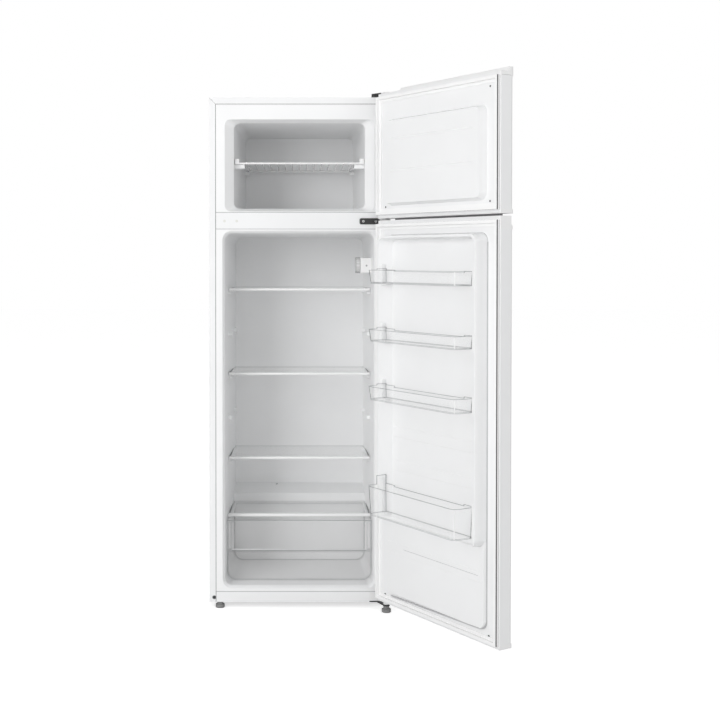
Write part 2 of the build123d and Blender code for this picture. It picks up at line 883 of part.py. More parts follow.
# Wire shelf with its end clips
bar_near = freezer_wall_at(wire_front) - clip_width
bar_far = freezer_wall_at(wire_rear) - wire_clearance
wire_shelf = rod(-bar_near, wire_front, wire_z, bar_radius, 2 * bar_near, "x")
wire_shelf += rod(-bar_far, wire_rear, wire_z, bar_radius, 2 * bar_far, "x")
for side in (-1, 1):
    near = side * (bar_near - 2 * bar_radius)
    far = side * (bar_far - 2 * bar_radius)
    edge = Line((near, front + wire_front, wire_z), (far, front + wire_rear, wire_z))
    wire_shelf += sweep(Plane(origin=edge @ 0, z_dir=edge % 0) * Circle(side_bar_radius), path=edge)
wire_lift = bar_radius + wire_radius - weld
wire_span = bar_far - 4 * bar_radius
for number in range(wire_count):
    x = -wire_span + 2 * wire_span * number / (wire_count - 1)
    wire_shelf += rod(x, wire_front, wire_z + wire_lift, wire_radius, wire_rear - wire_front, "y")
parts["wire_shelf"] = wire_shelf
clips = []
for side in (-1, 1):
    outer = freezer_wall_at(wire_front + clip_depth) - seat_gap
    x = side * (outer - clip_width / 2)
    clip = block(
        x - clip_width / 2,
        x + clip_width / 2,
        wire_front - bar_radius - clip_round,
        wire_front + clip_depth - bar_radius,
        wire_z - bar_radius,
        wire_z - bar_radius + clip_height,
    )
    clip = fillet(clip.edges().filter_by(Axis.X), clip_round)
    clips.append(clip - wire_shelf)
parts["wire_shelf_clips"] = Compound(children=clips)

# Thermostat and lamp housing on the right wall
housing_high = fridge_high - housing_below_top + housing_height / 2
housing_low = housing_high - housing_height
housing_mid = (housing_high + housing_low) / 2
housing_end = housing_front + housing_depth
housing_x = fridge_wall_at(housing_front) - housing_reach
lamp_start = housing_front + thermostat_depth
housing = block(housing_x, half, housing_front, housing_end, housing_low, housing_high)
housing = fillet(housing.edges().filter_by(Axis.Z).sort_by(Axis.Y)[:1], housing_round)
housing = housing & fridge_space
lamp_room = block(
    housing_x,
    fridge_wall_at(housing_end) - housing_wall,
    lamp_start,
    housing_end,
    housing_low,
    housing_high - housing_wall,
)
housing -= lamp_room
knob_d = housing_front + thermostat_depth / 2
knob_x = housing_x - seat_gap - knob_thick
housing -= rod(housing_x, knob_d, housing_mid, spindle_radius + pin_clear, spindle_length, "x")
bulb_x = (housing_x + fridge_wall_at(housing_end)) / 2
parts["thermostat_housing"] = housing

lens = lamp_room - block(
    housing_x + lens_wall,
    half,
    lamp_start,
    housing_end - lens_wall,
    housing_low + lens_wall,
    housing_high,
)
parts["lamp_lens"] = lens
bulb = rod(bulb_x, lamp_start, housing_mid, bulb_base, bulb_stem, "y")
bulb_reach = bulb_length - bulb_stem - bulb_radius
bulb += rod(bulb_x, lamp_start + bulb_stem, housing_mid, bulb_radius, bulb_reach, "y")
bulb += Pos(bulb_x, front + lamp_start + bulb_stem + bulb_reach, housing_mid) * Sphere(bulb_radius)
parts["lamp_bulb"] = bulb

# Serrated thermostat knob on its spindle
knob = rod(knob_x, knob_d, housing_mid, knob_radius, knob_thick, "x")
for tooth in range(knob_teeth):
    notch = rod(knob_x, knob_d, housing_mid + knob_radius, knob_tooth, knob_thick, "x")
    spin = Axis((knob_x, front + knob_d, housing_mid), (1, 0, 0))
    knob -= notch.rotate(spin, 360 * tooth / knob_teeth)
knob += rod(knob_x, knob_d, housing_mid, spindle_radius, knob_thick + seat_gap + spindle_length - skin, "x")
parts["thermostat_knob"] = knob


# Doors, drawn closed and then swung open
def door_outline(grow=0.0):
    """Plan of a door: square towards the cabinet, rounded at the front corners."""
    depth = shell_back - door_face + cap_flare - 2 * grow
    middle = (shell_back + door_face - cap_flare) / 2
    outline = Pos(0, front + middle) * Rectangle(cabinet_width - 2 * grow, depth)
    return fillet(outline.vertices().sort_by(Axis.Y)[:2], door_round - grow)


def door_prism(low, high, grow=0.0):
    """Door outline raised between two levels."""
    return Pos(0, 0, low) * extrude(door_outline(grow), amount=high - low)


def door_body(low, high, grow=0.0):
    """Plain door block behind the front face, without the caps' flare."""
    return Pos(0, cap_flare, 0) * door_prism(low, high, grow) & block(
        -half + grow, half - grow, door_face + grow, shell_back - grow, low, high
    )


def door_skin(low, high):
    """Steel skin: face, sides and the folds that the liner sits on."""
    shell = door_body(low, high) - door_body(low, high, skin)
    opening = half - door_return
    return shell - block(-opening, opening, shell_back - 2 * skin, shell_back, low, high)


def cap(profile):
    """End cap with its profile drawn in depth and height, rounded as the door."""
    levels = [z for depth, z in profile]
    return across(profile, half) & door_prism(min(levels), max(levels))


def bush(level):
    """Nylon bush for a hinge pin."""
    ring = rod(pivot_x, pivot_d, level, bush_radius, bush_length, "z")
    return ring - rod(pivot_x, pivot_d, level, pin_radius + pin_clear, bush_length, "z")


def bush_hole(level):
    """Seat of a bush in an end cap."""
    return rod(pivot_x, pivot_d, level, bush_radius, bush_length, "z")


def gasket(low, high):
    """Magnetic seal around the door: a flat base strip with a bead along its outer edge."""
    wide = half - gasket_side
    base_end = door_inner + gasket_base
    rings = []
    for width, start, end in ((gasket_width, door_inner, base_end), (bead_width, base_end, -seal_clear)):
        ring = block(-wide, wide, start, end, low + gasket_end, high - gasket_end)
        narrow = wide - width
        inside = gasket_end + width
        rings.append(ring - block(-narrow, narrow, start, end, low + inside, high - inside))
    return rings[0] + rings[1]


def liner_plate(low, high):
    """Flat edge of a door liner, which carries the gasket."""
    reach = half - door_edge
    return block(-reach, reach, shell_back, door_inner, low + door_edge, high - door_edge)


# Freezer door
skin_low = freezer_door_low + cap_thick
skin_high = freezer_door_high - cap_thick
parts["freezer_door_skin"] = opened(door_skin(skin_low, skin_high))
foot_profile = [
    (door_face, skin_low),
    (door_face - cap_flare, freezer_door_low + cap_flare),
    (door_face - cap_flare, freezer_door_low),
    (shell_back, freezer_door_low),
    (shell_back, skin_low),
]
foot_bush = freezer_door_low
parts["freezer_door_bottom_cap"] = opened(cap(foot_profile) - bush_hole(foot_bush))
lip_end = door_face + lip_thick
lip_top = freezer_door_high + lip_height
head_profile = [
    (door_face, skin_high),
    (door_face, lip_top),
    (lip_end, lip_top),
    (lip_end, freezer_door_high),
    (shell_back, freezer_door_high),
    (shell_back, skin_high),
]
head = cap(head_profile)
lowered = [
    (half - lip_short, lip_top),
    (half - lip_short + lip_height, freezer_door_high + lip_low),
    (half, freezer_door_high + lip_low),
    (half, lip_top),
]
notch = Plane.XZ * Polygon(*lowered, align=None)
notch = Pos(0, front + lip_end, 0) * extrude(notch, amount=lip_thick, dir=(0, -1, 0))
head_bush = freezer_door_high - bush_length
parts["freezer_door_top_cap"] = opened(head - notch - bush_hole(head_bush))
parts["freezer_door_bushes"] = Compound(children=[opened(bush(foot_bush)), opened(bush(head_bush))])

pan_base = half - pan_inset
pan_rows = [
    (door_inner, pan_base, freezer_door_low + pan_low, freezer_door_high - pan_top, pan_corner),
    (
        door_inner + pan_height,
        pan_base - pan_slope,
        freezer_door_low + pan_low + pan_slope,
        freezer_door_high - pan_top - pan_slope,
        pan_corner - pan_slope,
    ),
]


def thinned(rows, wall, start):
    """Rows of the hollow behind a raised form, from the back of the plate."""
    base_row, top_row = rows
    hollow = [(start,) + base_row[1:], (top_row[0] - wall,) + top_row[1:]]
    return [(d, reach - wall, low + wall, high - wall, r - wall) for d, reach, low, high, r in hollow]


pan = tub(pan_rows)
pan_hollow = tub(thinned(pan_rows, door_wall, shell_back))
freezer_door_liner = liner_plate(freezer_door_low, freezer_door_high) + pan - pan_hollow
pan_face = door_inner + pan_height
for height in pan_rib_heights:
    level = freezer_door_low + height
    rib_half = pan_base - 2 * pan_slope - pan_corner
    rib = [
        (pan_face - pan_rib_depth, level - pan_rib_width / 4),
        (pan_face, level - pan_rib_width / 2),
        (pan_face, level + pan_rib_width / 2),
        (pan_face - pan_rib_depth, level + pan_rib_width / 4),
    ]
    freezer_door_liner -= across(rib, rib_half)
parts["freezer_door_liner"] = opened(freezer_door_liner)
freezer_foam = door_body(skin_low, skin_high, skin)
fold = half - door_return
freezer_foam += block(-fold, fold, shell_back - 2 * skin, shell_back, skin_low, skin_high)
parts["freezer_door_foam"] = opened(freezer_foam + pan_hollow)
parts["freezer_door_gasket"] = opened(gasket(freezer_door_low, freezer_door_high))

# Fridge door
skin_low = fridge_door_low + cap_thick
skin_high = fridge_door_high - grip_cap
parts["fridge_door_skin"] = opened(door_skin(skin_low, skin_high))
foot_profile = [
    (door_face, skin_low),
    (door_face - cap_flare, fridge_door_low + cap_flare),
    (door_face - cap_flare, fridge_door_low),
    (shell_back, fridge_door_low),
    (shell_back, skin_low),
]
foot_bush = fridge_door_low
parts["fridge_door_bottom_cap"] = opened(cap(foot_profile) - bush_hole(foot_bush))
grip_profile = [
    (door_face, skin_high),
    (door_face, skin_high + grip_start),
    (door_face + grip_recess, skin_high + grip_start + grip_recess),
    (door_face + grip_recess, fridge_door_high),
    (shell_back, fridge_door_high),
    (shell_back, skin_high),
]
head_bush = fridge_door_high - bush_length
parts["fridge_door_top_cap"] = opened(cap(grip_profile) - bush_hole(head_bush))
parts["fridge_door_bushes"] = Compound(children=[opened(bush(foot_bush)), opened(bush(head_bush))])

dyke_base = half - dyke_inset
dyke_face = door_inner + dyke_height
plateau_face = door_inner + plateau_height
dyke_start = fridge_door_low + dyke_foot


def raised(face, low):
    """Rows of a form standing on the fridge door's liner, from its foot to its face."""
    high = fridge_door_high - dyke_top
    top = (face, dyke_base - dyke_slope, low + dyke_slope, high - dyke_slope, dyke_corner - dyke_slope)
    return [(door_inner, dyke_base, low, high, dyke_corner), top]


plateau_rows = raised(plateau_face, fridge_door_low + dyke_low)
dyke_rows = raised(dyke_face, dyke_start)
ridge_half = dyke_base - dyke_slope - ridge_side
pocket_bottom = dyke_start - pocket_slope
pocket_high = fridge_door_high - dyke_top - dyke_slope - ridge_top


def pocket_form(wall):
    """Recess in the fridge door's liner, grown by a wall."""
    faces = []
    floor_row = (door_inner + pocket_floor - wall, pocket_slope, pocket_top_slope)
    for depth, side, top in (floor_row, (dyke_face, 0, 0)):
        low = pocket_bottom + side - wall
        high = pocket_high - top + wall
        faces.append(section(depth, ridge_half - side + wall, low, high, pocket_corner))
    return loft(faces, ruled=True)


pocket = pocket_form(0)
dyke_hollow = tub(thinned(plateau_rows, door_wall, shell_back))
dyke_hollow += tub(thinned(dyke_rows, door_wall, shell_back))
dyke_hollow -= pocket_form(door_wall)
fridge_door_liner = liner_plate(fridge_door_low, fridge_door_high) + tub(plateau_rows) + tub(dyke_rows)
fridge_door_liner = fridge_door_liner - pocket - dyke_hollow


def band(face, level, reach):
    """Flat raised band across the liner, with sloping edges."""
    low = level - band_height / 2
    high = level + band_height / 2
    root = face - band_proud
    top = face + band_proud
    profile = [(root, low), (top, low + band_slope), (top, high - band_slope), (root, high)]
    return across(profile, reach)


fridge_door_liner += band(plateau_face, fridge_door_low + plateau_band, ridge_half - band_margin)
for height in pocket_bands:
    reach = ridge_half - pocket_slope - band_margin
    fridge_door_liner += band(door_inner + pocket_floor, fridge_door_low + height, reach)
balcony_half = ridge_half - balcony_gap
lug_start = door_inner + balcony_back + lug_set
lug_end = lug_start + lug_depth
for low, height, ear in balcony_rows.values():
    top = low - seat_gap
    lug = block(balcony_half - lug_width, half, lug_start, lug_end, top - lug_thick, top)
    lug += block(balcony_half + lug_gap, half, lug_start, lug_end, top - lug_thick, low + height + lug_rise)
    lug = lug & pocket
    fridge_door_liner += lug
    fridge_door_liner += mirror(lug, about=Plane.YZ)
parts["fridge_door_liner"] = opened(fridge_door_liner)
fridge_foam = door_body(skin_low, skin_high, skin)
fridge_foam += block(-fold, fold, shell_back - 2 * skin, shell_back, skin_low, skin_high)
parts["fridge_door_foam"] = opened(fridge_foam + dyke_hollow)
parts["fridge_door_gasket"] = opened(gasket(fridge_door_low, fridge_door_high))


def balcony_outline(inset, wall):
    """Plan of a balcony: straight at the door, rounded at the front corners."""
    start = door_inner + balcony_back + wall
    end = door_inner + balcony_back + balcony_reach - inset - wall
    outline = Pos(0, front + (start + end) / 2) * Rectangle(2 * (balcony_half - inset - wall), end - start)
    return fillet(outline.vertices().sort_by(Axis.Y)[-2:], balcony_corner - wall)


def balcony(low, height, ear):
    """Clear tray that flares towards its open rim, with a low rear wall and an ear at the hinge end."""
    rim = low + height
    foot = Pos(0, 0, low) * balcony_outline(balcony_flare, 0)
    outer = loft([foot, Pos(0, 0, rim) * balcony_outline(0, 0)])
    floor = Pos(0, 0, low + balcony_wall) * balcony_outline(balcony_flare, balcony_wall)
    inner = loft([floor, Pos(0, 0, rim) * balcony_outline(0, balcony_wall)])
    rear = door_inner + balcony_back
    reach = balcony_half - 2 * balcony_corner
    rear_cut = block(-reach, reach, rear, rear + balcony_wall, rim - balcony_rear_drop, rim)
    side = block(balcony_half - balcony_wall, balcony_half, rear, rear + ear_depth, rim, rim + ear)
    return outer - inner - rear_cut + side


for name, row in balcony_rows.items():
    parts[name + "_balcony"] = opened(balcony(*row))

for name, shape in parts.items():
    export_step(shape, f"parts/{name}.step")
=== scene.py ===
"""Looks of a top freezer refrigerator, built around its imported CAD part. Metres, +Z up, open front to -Y."""
import json
from math import cos, pi, radians, sin

import bmesh
import bpy
from mathutils import Matrix, Vector


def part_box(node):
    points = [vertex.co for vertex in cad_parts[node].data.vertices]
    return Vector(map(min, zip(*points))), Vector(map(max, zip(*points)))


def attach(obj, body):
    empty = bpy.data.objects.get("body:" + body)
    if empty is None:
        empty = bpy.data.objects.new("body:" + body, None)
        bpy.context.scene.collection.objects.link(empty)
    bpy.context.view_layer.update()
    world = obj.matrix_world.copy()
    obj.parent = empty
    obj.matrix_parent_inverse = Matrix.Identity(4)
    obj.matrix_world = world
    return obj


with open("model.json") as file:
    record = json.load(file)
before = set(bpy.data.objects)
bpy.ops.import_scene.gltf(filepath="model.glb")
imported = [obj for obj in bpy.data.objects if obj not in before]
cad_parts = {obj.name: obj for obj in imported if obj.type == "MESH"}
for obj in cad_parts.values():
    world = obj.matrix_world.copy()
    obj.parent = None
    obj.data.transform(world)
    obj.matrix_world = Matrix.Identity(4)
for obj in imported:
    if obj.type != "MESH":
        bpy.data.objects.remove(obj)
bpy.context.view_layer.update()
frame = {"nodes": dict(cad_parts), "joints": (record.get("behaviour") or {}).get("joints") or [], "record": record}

MM = 0.001
NODES = frame["nodes"]
HINGE = next(joint for joint in frame["joints"] if joint["name"] == "fridge_door_hinge")
PIVOT = Vector((HINGE["pos_m"][0], HINGE["pos_m"][1], 0))
OPEN_ANGLE = radians(-HINGE["range_deg"][0])

# Places read from the frame
SHELL_LOW, SHELL_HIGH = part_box("cabinet_shell")
FRONT = SHELL_LOW.y
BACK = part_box("back_panel")[1].y
HALF = SHELL_HIGH.x
TOP = SHELL_HIGH.z

# Camera, matched to the photograph
CAMERA_PLACE = (0.002, -3.866, 1.069)
CAMERA_PITCH = radians(1)
CAMERA_LENS = 60
CAMERA_SENSOR = 36
SHIFT_X = 0.0833
SHIFT_Y = -0.1155

# Fasteners, plugs, seams and drawn lines
SCREW_RADIUS = 3.6 * MM
SCREW_HEIGHT = 1.2 * MM
DOT_RADIUS = 2.8 * MM
PLUG_RADIUS = 4.2 * MM
PLUG_HEIGHT = 0.7 * MM
SEAM_WIDTH = 1.5 * MM
SEAM_PROUD = 0.15 * MM
EDGE_RADIUS = 0.45 * MM
LINE_RADIUS = 0.7 * MM
DISC_SIDES = 20
SHARP = radians(35)
FINE = radians(12)
WELD = 1e-5


# Materials


def shader(name):
    """New material, with its node tree and its Principled shader."""
    material = bpy.data.materials.new(name)
    material.use_nodes = True
    tree = material.node_tree
    return material, tree, tree.nodes["Principled BSDF"]


def add(tree, kind, **values):
    """Adds a node and sets its inputs by name."""
    node = tree.nodes.new(kind)
    for key, value in values.items():
        node.inputs[key].default_value = value
    return node


def noise(tree, scale):
    """Noise in the object's own coordinates."""
    place = tree.nodes.new("ShaderNodeTexCoord")
    node = add(tree, "ShaderNodeTexNoise", Scale=scale, Detail=3.0)
    tree.links.new(place.outputs["Object"], node.inputs["Vector"])
    return node


def spread(tree, source, low, high):
    """Maps a 0 to 1 value to a range."""
    node = tree.nodes.new("ShaderNodeMapRange")
    node.inputs["To Min"].default_value = low
    node.inputs["To Max"].default_value = high
    tree.links.new(source, node.inputs["Value"])
    return node.outputs["Result"]


def opaque(name, colour, roughness, grain=400.0, bump=0.02, metallic=0.0, coat=0.0, mottle=0.02):
    """Opaque finish with fine grain, uneven gloss and a slight mottle."""
    material, tree, principled = shader(name)
    grain_noise = noise(tree, grain)
    bumps = add(tree, "ShaderNodeBump", Strength=bump, Distance=0.001)
    tree.links.new(grain_noise.outputs["Fac"], bumps.inputs["Height"])
    tree.links.new(bumps.outputs["Normal"], principled.inputs["Normal"])
    patches = noise(tree, 9.0)
    gloss = spread(tree, patches.outputs["Fac"], roughness * 0.85, roughness * 1.15)
    tree.links.new(gloss, principled.inputs["Roughness"])
    ramp = tree.nodes.new("ShaderNodeValToRGB")
    ramp.color_ramp.elements[0].color = [channel * (1 - mottle) for channel in colour] + [1]
    ramp.color_ramp.elements[1].color = [min(channel * (1 + mottle), 1) for channel in colour] + [1]
    tree.links.new(patches.outputs["Fac"], ramp.inputs["Fac"])
    tree.links.new(ramp.outputs["Color"], principled.inputs["Base Color"])
    principled.inputs["Metallic"].default_value = metallic
    principled.inputs["Coat Weight"].default_value = coat
    return material


def clear(name, colour, face_alpha, edge_alpha, roughness=0.05):
    """Clear sheet: almost unseen face on, denser where it is seen along its surface."""
    material, tree, principled = shader(name)
    principled.inputs["Base Color"].default_value = (*colour, 1)
    facing = add(tree, "ShaderNodeLayerWeight", Blend=0.35)
    alpha = spread(tree, facing.outputs["Facing"], face_alpha, edge_alpha)
    tree.links.new(alpha, principled.inputs["Alpha"])
    ripple = noise(tree, 60.0)
    gloss = spread(tree, ripple.outputs["Fac"], roughness * 0.7, roughness * 1.3)
    tree.links.new(gloss, principled.inputs["Roughness"])
    material.blend_method = "BLEND"
    return material


MATERIALS = {
    "white_paint": opaque("white_paint", (0.86, 0.865, 0.87), 0.35, grain=900, bump=0.03, coat=0.2),
    "zinc_steel": opaque("zinc_steel", (0.5, 0.51, 0.52), 0.45, grain=60, metallic=1.0, mottle=0.12),
    "liner_white": opaque("liner_white", (0.88, 0.884, 0.888), 0.38, grain=700, bump=0.03),
    "foam": opaque("foam", (0.86, 0.8, 0.6), 0.9, grain=150, bump=0.3, mottle=0.06),
    "dark_steel": opaque("dark_steel", (0.03, 0.03, 0.032), 0.4, grain=500, bump=0.05),
    "black_paint": opaque("black_paint", (0.02, 0.02, 0.02), 0.45, grain=500, bump=0.06),
    "mount_rubber": opaque("mount_rubber", (0.03, 0.03, 0.03), 0.8, grain=300, bump=0.1),
    "gasket_rubber": opaque("gasket_rubber", (0.92, 0.92, 0.92), 0.6, grain=500, bump=0.05),
    "black_plastic": opaque("black_plastic", (0.03, 0.03, 0.03), 0.5, grain=600, bump=0.1),
    "grey_plastic": opaque("grey_plastic", (0.3, 0.31, 0.32), 0.55, grain=600, bump=0.08),
    "copper": opaque("copper", (0.72, 0.4, 0.27), 0.35, grain=120, metallic=1.0, mottle=0.1),
    "evaporator_sheet": opaque("evaporator_sheet", (0.7, 0.71, 0.72), 0.4, grain=80, metallic=1.0, mottle=0.05),
    "shelf_glass": clear("shelf_glass", (0.9, 0.92, 0.91), 0.015, 0.14),
    "shelf_trim": opaque("shelf_trim", (0.9, 0.9, 0.9), 0.2, coat=0.4),
    "white_plastic": opaque("white_plastic", (0.86, 0.86, 0.86), 0.4, grain=800, bump=0.05),
    "nylon": opaque("nylon", (0.75, 0.75, 0.72), 0.5),
    "white_wire": opaque("white_wire", (0.86, 0.86, 0.86), 0.25, coat=0.5),
    "clear_plastic": clear("clear_plastic", (0.97, 0.98, 0.98), 0.005, 0.07),
    "lamp_glass": clear("lamp_glass", (0.95, 0.94, 0.9), 0.2, 0.7),
}
SCREW_STEEL = opaque("screw_steel", (0.62, 0.62, 0.62), 0.4, metallic=0.6)
DARK_LINE = opaque("dark_line", (0.12, 0.12, 0.125), 0.7)
GREY_LINE = opaque("grey_line", (0.36, 0.36, 0.37), 0.7)
CLEAR_EDGE = opaque("clear_edge", (0.3, 0.31, 0.32), 0.3)
GLASS_EDGE = opaque("glass_edge", (0.16, 0.19, 0.18), 0.2)
SIDE_EDGE = opaque("side_edge", (0.03, 0.035, 0.035), 0.3)
GLEAM = opaque("gleam", (0.9, 0.9, 0.9), 0.2, coat=0.3)
# Grey of the painted shade on the fridge door's liner, in the fold at the foot of its raised form and along that
# form's edges
CREASE_SHADE = opaque("crease_shade", (0.5, 0.5, 0.51), 0.6)
FROSTED = clear("frosted_plastic", (0.98, 0.98, 0.98), 0.07, 0.24, roughness=0.2)
COVER_GLASS = clear("cover_glass", (0.94, 0.95, 0.95), 0.02, 0.2)


def ribbed(name, dark, light):
    """Dark plastic with fine upright ribs."""
    material, tree, principled = shader(name)
    place = tree.nodes.new("ShaderNodeTexCoord")
    ribs = add(tree, "ShaderNodeTexWave", Scale=90.0, Distortion=0.0)
    tree.links.new(place.outputs["Object"], ribs.inputs["Vector"])
    ramp = tree.nodes.new("ShaderNodeValToRGB")
    ramp.color_ramp.elements[0].color = (dark, dark, dark, 1)
    ramp.color_ramp.elements[1].color = (light, light, light, 1)
    tree.links.new(ribs.outputs["Fac"], ramp.inputs["Fac"])
    tree.links.new(ramp.outputs["Color"], principled.inputs["Base Color"])
    bumps = add(tree, "ShaderNodeBump", Strength=0.4, Distance=0.001)
    tree.links.new(ribs.outputs["Fac"], bumps.inputs["Height"])
    tree.links.new(bumps.outputs["Normal"], principled.inputs["Normal"])
    principled.inputs["Roughness"].default_value = 0.6
    return material


def split(name, axis, level, first, second):
    """Two tones on one piece, split at a share of its length along an axis."""
    material, tree, principled = shader(name)
    place = tree.nodes.new("ShaderNodeTexCoord")
    parts = tree.nodes.new("ShaderNodeSeparateXYZ")
    tree.links.new(place.outputs["Generated"], parts.inputs["Vector"])
    ramp = tree.nodes.new("ShaderNodeValToRGB")
    ramp.color_ramp.interpolation = "CONSTANT"
    ramp.color_ramp.elements[0].color = (first, first, first, 1)
    ramp.color_ramp.elements[1].color = (second, second, second, 1)
    ramp.color_ramp.elements[1].position = level
    tree.links.new(parts.outputs[axis], ramp.inputs["Fac"])
    tree.links.new(ramp.outputs["Color"], principled.inputs["Base Color"])
    patches = noise(tree, 200.0)
    gloss = spread(tree, patches.outputs["Fac"], 0.35, 0.5)
    tree.links.new(gloss, principled.inputs["Roughness"])
    return material


RIBBED_FOOT = ribbed("ribbed_foot", 0.15, 0.34)
# Bottom hinge dark below: its bare steel arm, also darkened as painted shade under the arm
HINGE_FOOT = split("hinge_foot", "Z", 0.16, 0.03, 0.86)
HINGE_ARM = split("hinge_arm", "X", 0.66, 0.03, 0.5)
HINGE_TOP = split("hinge_top", "X", 0.49, 0.05, 0.8)
OWN_LOOKS = {
    "crisper_drawer": FROSTED,
    "crisper_cover_glass": COVER_GLASS,
    "left_foot": RIBBED_FOOT,
    "right_foot": RIBBED_FOOT,
    "bottom_hinge": HINGE_FOOT,
    "middle_hinge": HINGE_ARM,
    "top_hinge": HINGE_TOP,
}

for subpart in frame["record"]["subparts"]:
    mesh = NODES[subpart["node"]].data
    mesh.materials.clear()
    mesh.materials.append(MATERIALS[subpart["material_slot"]])
for node, material in OWN_LOOKS.items():
    NODES[node].data.materials[0] = material


# Small pieces


def piece(name, form, material, body):
    """Makes an object of a finished form, riding on a body."""
    mesh = bpy.data.meshes.new(name)
    form.to_mesh(mesh)
    form.free()
    mesh.materials.append(material)
    made = bpy.data.objects.new(name, mesh)
    bpy.context.scene.collection.objects.link(made)
    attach(made, body)


def slab(form, low, high):
    """Adds a box between two corners."""
    low, high = Vector(low), Vector(high)
    place = Matrix.Translation((low + high) / 2) @ Matrix.Diagonal((*(high - low), 1))
    bmesh.ops.create_cube(form, size=1, matrix=place)


def rod(form, start, end, radius, sides=4):
    """Adds a round rod between two points."""
    start, end = Vector(start), Vector(end)
    way = end - start
    place = Matrix.Translation((start + end) / 2) @ way.to_track_quat("Z", "Y").to_matrix().to_4x4()
    bmesh.ops.create_cone(
        form, cap_ends=True, segments=sides, radius1=radius, radius2=radius, depth=way.length, matrix=place
    )


def discs(name, places, way, radius, height, material, body, turn=None):
    """Round heads on a surface, each rising from its place along one way."""
    form = bmesh.new()
    for place in places:
        rod(form, place, Vector(place) + Vector(way) * height, radius, DISC_SIDES)
    if turn:
        form.transform(turn)
    piece(name, form, material, body)


def edge_lines(node, body, radius, material, sharp=SHARP):
    """Thin lines along the sharp edges of a piece, where light or shade gathers."""
    copy = bmesh.new()
    copy.from_mesh(NODES[node].data)
    bmesh.ops.remove_doubles(copy, verts=copy.verts, dist=WELD)
    form = bmesh.new()
    for edge in copy.edges:
        if len(edge.link_faces) == 2 and edge.calc_face_angle() > sharp:
            rod(form, edge.verts[0].co, edge.verts[1].co, radius)
    copy.free()
    piece(node + "_edges", form, material, body)


# Doors are laid out shut and then swung open to where the frame has them
SWING = Matrix.Translation(PIVOT) @ Matrix.Rotation(OPEN_ANGLE, 4, "Z") @ Matrix.Translation(-PIVOT)
GASKET_REACH = HALF - 2.5 * MM
BEAD_CREST = FRONT - 1.5 * MM
# Depths of the dark strips painted as shade in the gasket's fold
GASKET_SHADE_START = BEAD_CREST - 5 * MM
GASKET_SHADE_END = BEAD_CREST - 1 * MM
SEAT_DEPTH = 1 * MM
LINER_FACE = FRONT - 12 * MM

# Liner screws that the photo shows: radius, look, and for each the side and level
LINER_SCREW_SIDE = 233 * MM
LINER_SCREWS = {
    "freezer_door": (DOT_RADIUS, DARK_LINE, ((-1, 1.514), (-1, 1.213), (1, 1.213))),
    "fridge_door": (SCREW_RADIUS, SIDE_EDGE, ((-1, 0.064), (1, 0.064))),
}

# Seam of the freezer door's top cap, below the cap's top, between two depths
CAP_SEAM = 23 * MM
CAP_SEAM_START = FRONT - 50 * MM
CAP_SEAM_END = FRONT - 16 * MM

# Dark strip of painted shade in the gap between the doors
GAP_SHADE_FREE_END = 4 * MM - HALF
GAP_SHADE_HINGE_END = 0.2
GAP_SHADE_START = FRONT - 24 * MM
GAP_SHADE_END = FRONT - 22 * MM
GAP_SHADE_HEIGHT = 4.5 * MM

# Raised form on the fridge door's liner: painted shade in the fold at its foot, painted shade on its rim, and a
# painted shade line for its flat band
CREASE_SIDE = 224.4 * MM
CREASE_LEVELS = (0.0762, 1.1304)
CREASE_CORNER = 24 * MM
CREASE_STRAIGHT = CREASE_SIDE - CREASE_CORNER
CREASE_STEPS = 8
CREASE_RADIUS = 0.9 * MM
SHADE_RADIUS = 2.2 * MM
SHADE_FOOT = 2 * MM
SHADE_DROP = 8 * MM
PLATEAU_RISE = 8 * MM
RIM_INSET = 3 * MM
BAND_RISE = 1.8 * MM
BAND_RADIUS = 0.6 * MM
BAND_LEVEL = 0.219
BAND_ENDS = (0.13, -0.2)


def door_piece(name, form, material, door):
    """Swings a form open with its door and makes a piece of it."""
    form.transform(SWING)
    piece(name, form, material, door)


def gasket_lines(door):
    """Painted shade in the fold around the outer side of a door's gasket, and the line where its free side meets
    the liner.
    """
    low, high = (corner.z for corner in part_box(door + "_gasket"))
    inner, outer = GASKET_REACH - SEAM_PROUD, GASKET_REACH + SEAM_PROUD
    form = bmesh.new()
    # Dark strips of painted shade in the gasket's fold, on both sides and along the top and bottom
    slab(form, (-outer, GASKET_SHADE_START, low), (-inner, GASKET_SHADE_END, high))
    slab(form, (inner, GASKET_SHADE_START, low), (outer, GASKET_SHADE_END, high))
    for level in (low, high):
        slab(form, (-outer, GASKET_SHADE_START, level - SEAM_PROUD), (outer, GASKET_SHADE_END, level + SEAM_PROUD))
    door_piece(door + "_gasket_shade", form, DARK_LINE, door)
    form = bmesh.new()
    slab(form, (-outer, LINER_FACE, low), (-inner, LINER_FACE + SEAT_DEPTH, high))
    door_piece(door + "_gasket_seat", form, GREY_LINE, door)


def end_seam():
    """Joint under the freezer door's top cap, on the free end."""
    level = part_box("freezer_door_top_cap")[1].z - CAP_SEAM
    form = bmesh.new()
    low = (-HALF - SEAM_PROUD, CAP_SEAM_START, level)
    slab(form, low, (-HALF, CAP_SEAM_END, level + SEAM_WIDTH / 2))
    door_piece("freezer_door_end_seam", form, GREY_LINE, "freezer_door")


def gap_shade():
    """Dark strip on the fridge door's top edge, painted as the shade in the gap under the freezer door."""
    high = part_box("fridge_door_top_cap")[1].z
    form = bmesh.new()
    slab(form, (GAP_SHADE_FREE_END, GAP_SHADE_START, high), (GAP_SHADE_HINGE_END, GAP_SHADE_END, high + GAP_SHADE_HEIGHT))
    door_piece("gap_shade", form, DARK_LINE, "fridge_door")


